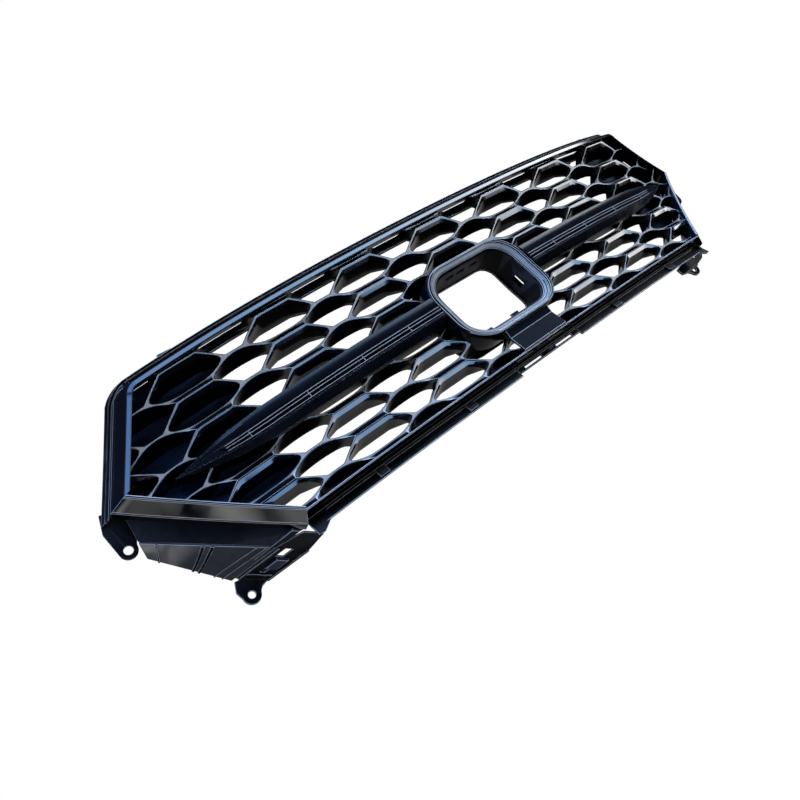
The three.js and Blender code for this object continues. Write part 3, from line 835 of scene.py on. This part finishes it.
def side_path(t, outward):
    """From the top's end round the corner and straight down to the widest point."""
    centre = upper_corner_centre()
    side_angle, top_angle = corner_angles()
    radius = CORNER_RADIUS + outward
    if t < CORNER_SHARE:
        turn = t / CORNER_SHARE
        angle = mix(top_angle, side_angle, turn)
        lift = arch_lift(centre[0]) * (1 - turn)
        return centre[0] + radius * math.cos(angle), centre[1] + radius * math.sin(angle) + lift
    start = (centre[0] + radius * math.cos(side_angle), centre[1] + radius * math.sin(side_angle))
    end = bezel_corners(outward)[1]
    along = (t - CORNER_SHARE) / (1 - CORNER_SHARE)
    return tuple(mix(a, b, along) for a, b in zip(start, end))


def straight_path(index):
    def path(t, outward):
        corners = bezel_corners(outward)
        a, b = corners[index], corners[(index + 1) % 6]
        return mix(a[0], b[0], t), mix(a[1], b[1], t)
    return path


def sweep(skin, path, section_at, steps):
    """Runs a section of [outward, depth] pairs along a path on the plan."""
    loops = []
    for i in range(steps + 1):
        t = i / steps
        loops.append([(*path(t, outward), depth) for outward, depth in section_at(t)])
    skin.tube([[(x, depth, z) for x, z, depth in loop] for loop in loops])


# Share of the side's way that the rounded corner takes.
CORNER_SHARE = 0.25


def side_section(corner_section, section):
    """A section that turns from one shape into another round the corner, then stays."""
    def section_at(t):
        share = min(1, t / CORNER_SHARE)
        return [(mix(a[0], b[0], share), mix(a[1], b[1], share)) for a, b in zip(corner_section, section)]
    return section_at


TOP_STEPS = 44
SIDE_STEPS = 32
LIP_BACK = -0.8
TOP_SECTION = [(-6.4, LIP_BACK), (-6.4, -5.8), (-5.6, -6.5), (0.4, -3.2), (1.0, -1.6), (3, 0.6), (3, 16),
               (-0.4, 16), (-0.4, LIP_BACK)]
SIDE_SECTION = [(-6.6, LIP_BACK), (-6.6, -3.8), (-6.0, -4.6), (-0.8, -1.8), (-0.2, 0.6), (12.2, 12.5),
                (12.2, 26), (-0.4, 26), (-0.4, LIP_BACK)]
LOWER_SECTION = [(-3, LIP_BACK), (-3, -2.6), (-2.0, -3.6), (0.2, -3.2), (1.0, -1.4), (13, 10.4), (14, 12.6),
                 (14, 28), (-0.4, 28), (-0.4, LIP_BACK)]
BOTTOM_SECTION = [(-0.4, -1), (0.4, -2), (2, -1.4), (7, 15), (7, 24), (-0.4, 24)]


def make_bezel():
    top = Skin()
    sweep(top, top_path, lambda t: TOP_SECTION, TOP_STEPS)
    finish_piece("bezel_top_look", top.mesh("bezel_top_look", place), "gloss_black",
                 ["bezel_top"], 0.4, smooth_angle=20)
    side = Skin()
    sweep(side, side_path, side_section(TOP_SECTION, SIDE_SECTION), SIDE_STEPS)
    finish_pair("bezel_side", side, "gloss_black", ["bezel_side"], 0.4, smooth_angle=20)
    lower = Skin()
    sweep(lower, straight_path(0), lambda t: LOWER_SECTION, 12)
    finish_pair("bezel_lower", lower, "gloss_black", ["bezel_lower"], 0.5, smooth_angle=20,
                light_edges=True)
    bottom = Skin()
    sweep(bottom, straight_path(5), lambda t: BOTTOM_SECTION, 40)
    finish_piece("bezel_bottom_look", bottom.mesh("bezel_bottom_look", place), "gloss_black",
                 ["bezel_bottom"], 0.5, light_edges=True)


# ---- Bar -----------------------------------------------------------------------------------------


def bar_proud(x):
    along = (x - BAR_ROOT_X) / (BAR_TIP_X - BAR_ROOT_X)
    return BAR_PROUD * (1 - along**2) + 2


def tip_closing(x):
    return 0 if x < TIP_START_X else ((x - TIP_START_X) / (BAR_TIP_X - TIP_START_X)) ** 1.8


def bar_section(x):
    low_back = BAR_BOTTOM_Z - BAR_BACK_DROP
    close = min(tip_closing(x), 0.93)
    front = -bar_proud(x)
    recess = SLOT_RECESS * min(1, max(0.05, (SLOT_END_X - x) / 14))

    def level(z):
        return mix(z, BAR_TIP_Z, close)

    profile = [(BAR_TOP_Z, -0.8), (BAR_TOP_Z - 0.6, front + 6), (BAR_TOP_Z - 2.4, front + 2.6),
               (BAR_TOP_Z - 8, front), (SLOT_HIGH_Z + 1.2, front + 0.4), (SLOT_HIGH_Z, front + 1),
               (SLOT_HIGH_Z - 0.3, front + recess), (SLOT_LOW_Z + 0.3, front + recess),
               (SLOT_LOW_Z, front + 0.8), (SLOT_LOW_Z - 1.2, front), (BAR_BOTTOM_Z + 0.6, front),
               (BAR_BOTTOM_Z, front + 0.6), (low_back, -0.8), (low_back, BAR_BACK),
               (low_back + 3, BAR_BACK), (BAR_TOP_Z - 3, BAR_BACK), (BAR_TOP_Z, BAR_BACK)]
    return [(x, depth, level(z)) for z, depth in profile]


def bar_stations(low, high, count):
    return [mix(low, high, i / count) for i in range(count + 1)]


def slot_z(x, share):
    """Height in the bar's recess, from its lower side at share 0 to its upper side at 1."""
    return mix(mix(SLOT_LOW_Z + 0.6, SLOT_HIGH_Z - 0.6, share), BAR_TIP_Z, tip_closing(x))


def slot_rail(skin, low, high, front, back, start, end, steps=40):
    """A rail along the recess between two shares of its height, measured from the recess floor."""
    loops = []
    for x in bar_stations(start, end, steps):
        floor = -bar_proud(x) + SLOT_RECESS
        loops.append([(x, floor + front, slot_z(x, low)), (x, floor + front, slot_z(x, high)),
                      (x, floor + back, slot_z(x, high)), (x, floor + back, slot_z(x, low))])
    skin.tube(loops)


def make_bar():
    wing = Skin()
    wing.tube([bar_section(x) for x in bar_stations(BAR_ROOT_X - 2, BAR_TIP_X, 64)])
    finish_pair("bar_wing", wing, "gloss_black", ["bar_wing"], 0.35, look="bar_black", light_edges=True)
    insert = Skin()
    slot_rail(insert, 0, 1, -1.4, -0.4, BAR_ROOT_X, SLOT_END_X - 10)
    slot_rail(insert, 0.02, 0.13, -6.2, -1.4, BAR_ROOT_X, SLOT_END_X - 8)
    slot_rail(insert, 0.86, 0.97, -5.6, -1.4, BAR_ROOT_X, SLOT_END_X - 6)
    slot_rail(insert, 0.5, 0.6, -4.8, -1.4, BAR_ROOT_X, SLOT_END_X - 12)
    for x in SLOT_CROSS_X:
        slot_rail(insert, 0.1, 0.9, -5.2, -1.4, x, x + 2, 1)
    finish_pair("bar_insert", insert, "satin_black", ["bar_insert"], 0.25)


def make_bar_highlight_lines():
    """Thin pale lines on the rails and cross pieces of the recess: painted highlights standing in for
    reflections.
    """
    lines = Skin()
    for share in (0.04, 0.53, 0.9):
        slot_rail(lines, share, share + 0.05, -6.4, -5.0, BAR_ROOT_X, SLOT_END_X - 10)
    for x in SLOT_LINE_X:
        slot_rail(lines, 0.12, 0.88, -5.5, -4.9, x, x + 0.8, 1)
    finish_pair("bar_highlight_lines", lines, "gloss_black", [], 0, look="light_edge")


# ---- Emblem ring and centre plate ----------------------------------------------------------------


def ring_section():
    front, back = RING_FRONT, RING_BACK
    return [(0, back), (0, front + 6), (0.03, front + 3.6), (0.1, front + 1.4), (0.2, front + 0.2),
            (0.32, front), (0.42, front + 0.5), (0.46, front + 1.6), (0.5, front + 3), (0.62, front + 3.3),
            (0.68, front + 4.2), (0.78, front + 4.6), (0.84, front + 5.8), (1, front + 6.2), (1, front + 9),
            (0.6, front + 14), (0.6, back)]


def make_ring():
    skin = Skin()
    loops = []
    for share, depth in ring_section():
        outline = rounded_outline(RING_HALF_X - RING_RIM_X * share, RING_HALF_Z - RING_RIM_Z * share,
                                  RING_RADIUS - 12 * share, 16)
        loops.append([(x, depth, z) for x, z in outline])
    skin.tube(loops, closed_way=True)
    finish_piece("emblem_ring_look", skin.mesh("emblem_ring_look", place), "gloss_black",
                 ["emblem_ring"], 0.5, look="ring_black", light_edges=True)


PLATE_HALF = 42


def make_centre_plate():
    skin = Skin()
    ring_bottom = RING_Z - RING_HALF_Z - RING_GAP
    profile = [(ring_bottom, -10), (-3.4, -5.6), (-4.2, -5.0), (-5.0, -5.0), (-28.4, -4.2), (-29, -3.4),
               (-29, -0.6), (ring_bottom, -0.6)]
    stations = bar_stations(-PLATE_HALF, PLATE_HALF, 12)
    skin.tube([[(x, depth, z) for z, depth in profile] for x in stations])
    finish_piece("centre_plate_look", skin.mesh("centre_plate_look", place), "panel_black",
                 ["centre_plate"], 0.5, look="plate_black", light_edges=True)


# ---- Blanking panels -----------------------------------------------------------------------------

PANEL_LOW_Z = 13
PANEL_RIB_PITCH = 3.1
PANEL_RIB_HEIGHT = 0.9
PANEL_COLUMNS = 10
PANEL_BACK_STEPS = 50


def bezel_edge_x(z):
    """Half width of the panel's plan at a height, just inside the bezel."""
    corners = bezel_corners(-2)
    low, side, high = corners[0], corners[1], corners[2]
    a, b = (low, side) if z < side[1] else (side, high)
    return mix(a[0], b[0], (z - a[1]) / (b[1] - a[1]))


def panel_start_x(z):
    """The panel's inner edge at a height: a zigzag along the ribs of the outermost wide cells."""
    column_x = 3 * COLUMN_PITCH
    down = (FIRST_ROW_Z - z) % ROW_PITCH
    half_row = ROW_PITCH / 2
    if down < half_row:
        return column_x - mix(TOP_HALF, SIDE_HALF, down / half_row)
    if down < WIDE_HEIGHT:
        return column_x - mix(SIDE_HALF, BOTTOM_HALF, (down - half_row) / (WIDE_HEIGHT - half_row))
    return column_x - mix(BOTTOM_HALF, TOP_HALF, (down - WIDE_HEIGHT) / (ROW_PITCH - WIDE_HEIGHT))


def panel_profile(front, back):
    """Ribs up the front as [height, depth], then a plain way down the back."""
    rows = int((UPPER[1] + 4 - PANEL_LOW_Z) / PANEL_RIB_PITCH)
    profile = []
    for i in range(rows):
        z = PANEL_LOW_Z + i * PANEL_RIB_PITCH
        profile += [(z, front), (z + PANEL_RIB_PITCH * 0.5, front),
                    (z + PANEL_RIB_PITCH * 0.7, front - PANEL_RIB_HEIGHT),
                    (z + PANEL_RIB_PITCH * 0.9, front - PANEL_RIB_HEIGHT)]
    last_z = PANEL_LOW_Z + rows * PANEL_RIB_PITCH
    down = [(mix(last_z, PANEL_LOW_Z, i / PANEL_BACK_STEPS), back) for i in range(1, PANEL_BACK_STEPS)]
    return profile + [(last_z, front), (last_z, back)] + down + [(PANEL_LOW_Z, back)]


def make_blanking_panels():
    skin = Skin()

    def line(z, depth):
        start, end = panel_start_x(z), bezel_edge_x(z)
        return [(mix(start, end, i / PANEL_COLUMNS), depth, z) for i in range(PANEL_COLUMNS + 1)]

    lines = [skin.loop(line(z, depth)) for z, depth in panel_profile(COMB_DEPTH + 0.8, COMB_DEPTH + 3.3)]
    for first, second in zip(lines, lines[1:] + lines[:1]):
        skin.bridge(first, second, closed=False)
    for end in (0, -1):
        skin.cap([line_points[end] for line_points in lines])
    finish_pair("blanking_panel", skin, "panel_black", ["blanking_panel"], 0)


# ---- Flanges -------------------------------------------------------------------------------------

FLANGE_TOP_SECTION = [(2.6, 18), (8, 17.6), (13, 17.2), (13.4, 16.2), (16.6, 16.2), (17, 16.8), (17, 21),
                      (2.6, 21), (2.6, 20), (2.6, 19)]
FLANGE_SIDE_SECTION = [(12, 13), (14.6, 13), (15.4, 22), (17.4, 26.6), (20.6, 27.4), (21.2, 25.6), (25, 26.2),
                       (25, 31), (12, 31), (12, 20)]


def make_flanges():
    top = Skin()
    sweep(top, top_path, lambda t: FLANGE_TOP_SECTION, TOP_STEPS)
    finish_piece("flange_top_look", top.mesh("flange_top_look", place), "satin_black", ["flange_top"], 0.35,
                 light_edges=True)
    side = Skin()
    sweep(side, side_path, side_section(FLANGE_TOP_SECTION, FLANGE_SIDE_SECTION), SIDE_STEPS)
    finish_pair("flange_side", side, "satin_black", ["flange_side"], 0.35, light_edges=True)


HIGHLIGHT_BEAD_FRONT = 17.2
HIGHLIGHT_BEAD_BACK = 18.4


def make_flange_highlight_beads():
    """Thin pale strips along the front of the bottom flanges: painted highlight lines standing in for
    reflections.
    """
    highlight_beads = Skin()
    for low_x, high_x in ((64, 146), (158, 292), (304, 376)):
        highlight_beads.block(low_x, high_x, -41.2, -40.4, HIGHLIGHT_BEAD_FRONT, HIGHLIGHT_BEAD_BACK, 10)
    highlight_beads.block(64, 384, -52.6, -51.9, HIGHLIGHT_BEAD_FRONT, HIGHLIGHT_BEAD_BACK, 24)
    finish_pair("flange_bottom_highlight_bead", highlight_beads, "satin_black", [], 0, look="light_edge")
    centre = Skin()
    for low_z, high_z in ((-47.8, -47.1), (-40.6, -40.0)):
        centre.block(-60, 60, low_z, high_z, HIGHLIGHT_BEAD_FRONT, HIGHLIGHT_BEAD_BACK, 12)
    finish_piece("flange_centre_highlight_bead_look", centre.mesh("flange_centre_highlight_bead_look", place), "satin_black",
                 look="light_edge")


def arc(x, z, radius, start, end, steps=14):
    """Part of a circle on the plan, between two angles in quarter turns."""
    angles = [mix(start, end, i / steps) * math.pi / 2 for i in range(steps + 1)]
    return [(x + radius * math.cos(a), z + radius * math.sin(a)) for a in angles]


def bolt_plate(outline, front, back, hole):
    """A flat plate on the plan with one round hole through it."""
    body = bpy.data.objects.new("bolt_plate_work", prism(outline, front, back))
    bpy.context.scene.collection.objects.link(body)
    boolean(body, prism(arc(*hole, 0, 4, 32)[:-1], front - 2, back + 2), "DIFFERENCE")
    mesh = body.data
    bpy.data.objects.remove(body)
    return mesh


def finish_plate_pair(name, mesh, slot, nodes, bevel, depth_shift, **finish):
    for vertex in mesh.vertices:
        vertex.co = place_straight(vertex.co.x, vertex.co.y + depth_shift, vertex.co.z)
    finish_sides(name, mesh, slot, nodes, bevel, **finish)


def make_side_tabs():
    x, z, lobe, hole = 557, 67, 11, 5.5
    inner, outer = [(533, 114), (539.5, 98), (541, 76)], [(570, 98), (562, 120)]
    mesh = bolt_plate(inner + arc(x, z, lobe, 2, 4) + outer, 32.5, 35.5, (x, z, hole))
    finish_plate_pair("side_tab", mesh, "satin_black", ["side_tab"], 0.9, face_depth(x, 80), light_edges=True)


def make_lower_brackets():
    x, z, lobe, hole = 474, -53, 11.5, 4.5
    inner, outer = [(442, -36), (444, -49), (458, -52)], [(487.5, -41), (481.5, -29)]
    mesh = bolt_plate(inner + arc(x, z, lobe, 2.2, 4.1) + outer, 108, BRACKET_BACK_DEPTH, (x, z, hole))
    finish_plate_pair("lower_bracket", mesh, "satin_black", ["lower_bracket"], 0.8, 0, light_edges=True)


# ---- Side garnish --------------------------------------------------------------------------------

GARNISH_FRONT = (Vector((543, 88, 68)), Vector((435, 48, -33.6)))
GARNISH_BACK = (Vector((543, 100, 51)), Vector((481, 109, -24)))
GARNISH_THICK = 3


def garnish_point(down, across, lift):
    """A point on the smoked panel: down from its high end, across from front to back, lifted outwards."""
    direction = Vector((SIDE[0] - LOWER[0], 0, SIDE[1] - LOWER[1])).normalized()
    outwards = Vector((direction.z, 0, -direction.x))
    front = GARNISH_FRONT[0].lerp(GARNISH_FRONT[1], down)
    back = GARNISH_BACK[0].lerp(GARNISH_BACK[1], down)
    return tuple(front.lerp(back, across) + outwards * lift)


def garnish_band(skin, start, end, low, high, bottom, top, steps=10):
    """A raised band on the panel between two (down, across) points, wide in the down direction."""
    loops = []
    for i in range(steps + 1):
        t = i / steps
        down, across = mix(start[0], end[0], t), mix(start[1], end[1], t)
        corners = ((low, bottom), (high, bottom), (high, top), (low, top))
        loops.append([garnish_point(down + shift, across, lift) for shift, lift in corners])
    skin.tube(loops)


# Across and lift of the panel's section, hollowed a little on the back.
GARNISH_SECTION = ((0, 0.2), (0.5, -0.4), (1, 0.2), (1, GARNISH_THICK), (0.5, GARNISH_THICK),
                   (0, GARNISH_THICK))
# Each bar: its place down the panel at the front and at the back, and its width.
GARNISH_BARS = ((0.12, 0.13, 0.02), (0.46, 0.52, 0.03), (0.53, 0.59, 0.03), (0.86, 0.78, 0.015),
                (0.93, 0.88, 0.012))
GARNISH_STEPS = 12


def make_garnish():
    panel = Skin()
    panel.tube([[garnish_point(i / GARNISH_STEPS, across, lift) for across, lift in GARNISH_SECTION]
                for i in range(GARNISH_STEPS + 1)])
    finish_pair("side_garnish", panel, "smoked_panel", ["side_garnish"], 0.4, place_straight,
                light_edges=True)
    bars = Skin()
    for front, back, width in GARNISH_BARS:
        garnish_band(bars, (front, 0), (back, 1), 0, width, GARNISH_THICK - 0.4, GARNISH_THICK + 1.4)
    finish_pair("garnish_bars", bars, "gloss_black", [], 0.3, place_straight, light_edges=True)


# ---- Bracket arms: a high corner on the plan and the three edges from it -------------------------

ARM_HIGH = Vector((434, 47.6, -34.6))
ARM_ALONG = Vector((43.9, 58.2, 9.2))
ARM_ACROSS = Vector((-29, 0, -23.9))
ARM_THROUGH = Vector((1.4, -0.8, -1.8))


def arm_block(skin, along, across, low, high):
    """A raised block on the bracket arm, between shares of its length and width."""
    corners = ((across[0], low), (across[1], low), (across[1], high), (across[0], high))
    skin.tube([[tuple(ARM_HIGH + ARM_ALONG * share + ARM_ACROSS * side + ARM_THROUGH * height)
                for side, height in corners] for share in along])


def make_arm_details():
    block = Skin()
    arm_block(block, (0.3, 0.58), (0.38, 0.74), 0.9, 2.6)
    finish_pair("arm_block", block, "panel_black", [], 0.6, place_straight, light_edges=True)
    ribs = Skin()
    arm_block(ribs, (0.02, 0.98), (0.92, 1.0), 0.9, 2.0)
    arm_block(ribs, (0.02, 0.98), (0.05, 0.11), 0.9, 2.0)
    arm_block(ribs, (0.80, 0.84), (0.15, 0.88), 0.9, 1.8)
    arm_block(ribs, (-0.48, 0.4), (-0.16, 0.08), -0.4, 0.9)
    finish_pair("arm_ribs", ribs, "satin_black", [], 0.4, place_straight, light_edges=True)


# ---- Pieces that keep their CAD shape, with rounded edges ----------------------------------------

# The bevel of each piece; the pairs also have _right or _left in their names.

DRESSED_PAIRS = {
    "emblem_clip": 0.4, "frame_screw_lower": 0.5, "frame_screw_upper": 0.5, "flange_bottom": 0.4,
    "bottom_clip_inner": 0.4, "bottom_clip_outer": 0.4, "top_tab": 0.5, "garnish_rail": 0.4,
    "bracket_arm": 0.5, "rail_screw_inner": 0.5, "rail_screw_outer": 0.5,
}
DRESSED_SINGLES = {
    "emblem_socket": 0.4, "emblem_frame": 0.5, "flange_bottom_centre": 0.4, "rear_rail_upper": 0.5,
    "rear_rail_lower": 0.5,
}


def dress_node(name, bevel):
    node = frame["nodes"][name]
    mesh = node.data.copy()
    mesh.transform(node.matrix_world)
    shape = bmesh.new()
    shape.from_mesh(mesh)
    bmesh.ops.remove_doubles(shape, verts=shape.verts, dist=1e-6)
    bmesh.ops.dissolve_limit(shape, angle_limit=math.radians(0.5), verts=shape.verts, edges=shape.edges)
    shape.to_mesh(mesh)
    shape.free()
    slot = slot_of_node(name)
    # Satin black pieces get the pale painted highlight on their bevelled edges.
    finish_piece(name + "_look", mesh, slot, [name], bevel, light_edges=slot == "satin_black")


def dress_nodes():
    for name, bevel in DRESSED_SINGLES.items():
        dress_node(name, bevel)
    for name, bevel in DRESSED_PAIRS.items():
        for side in ("right", "left"):
            dress_node(f"{name}_{side}", bevel)


# ---- The scene -----------------------------------------------------------------------------------

bpy.context.scene.view_settings.view_transform = "Standard"
make_camera()
make_world()
make_lights()
make_floor()
materials = make_materials()

for name, node in frame["nodes"].items():
    node.data.materials.clear()
    node.data.materials.append(materials[slot_of_node(name)])

make_honeycomb()
make_bezel()
make_bar()
make_bar_highlight_lines()
make_ring()
make_centre_plate()
make_blanking_panels()
make_flanges()
make_flange_highlight_beads()
make_side_tabs()
make_lower_brackets()
make_garnish()
make_arm_details()
dress_nodes()
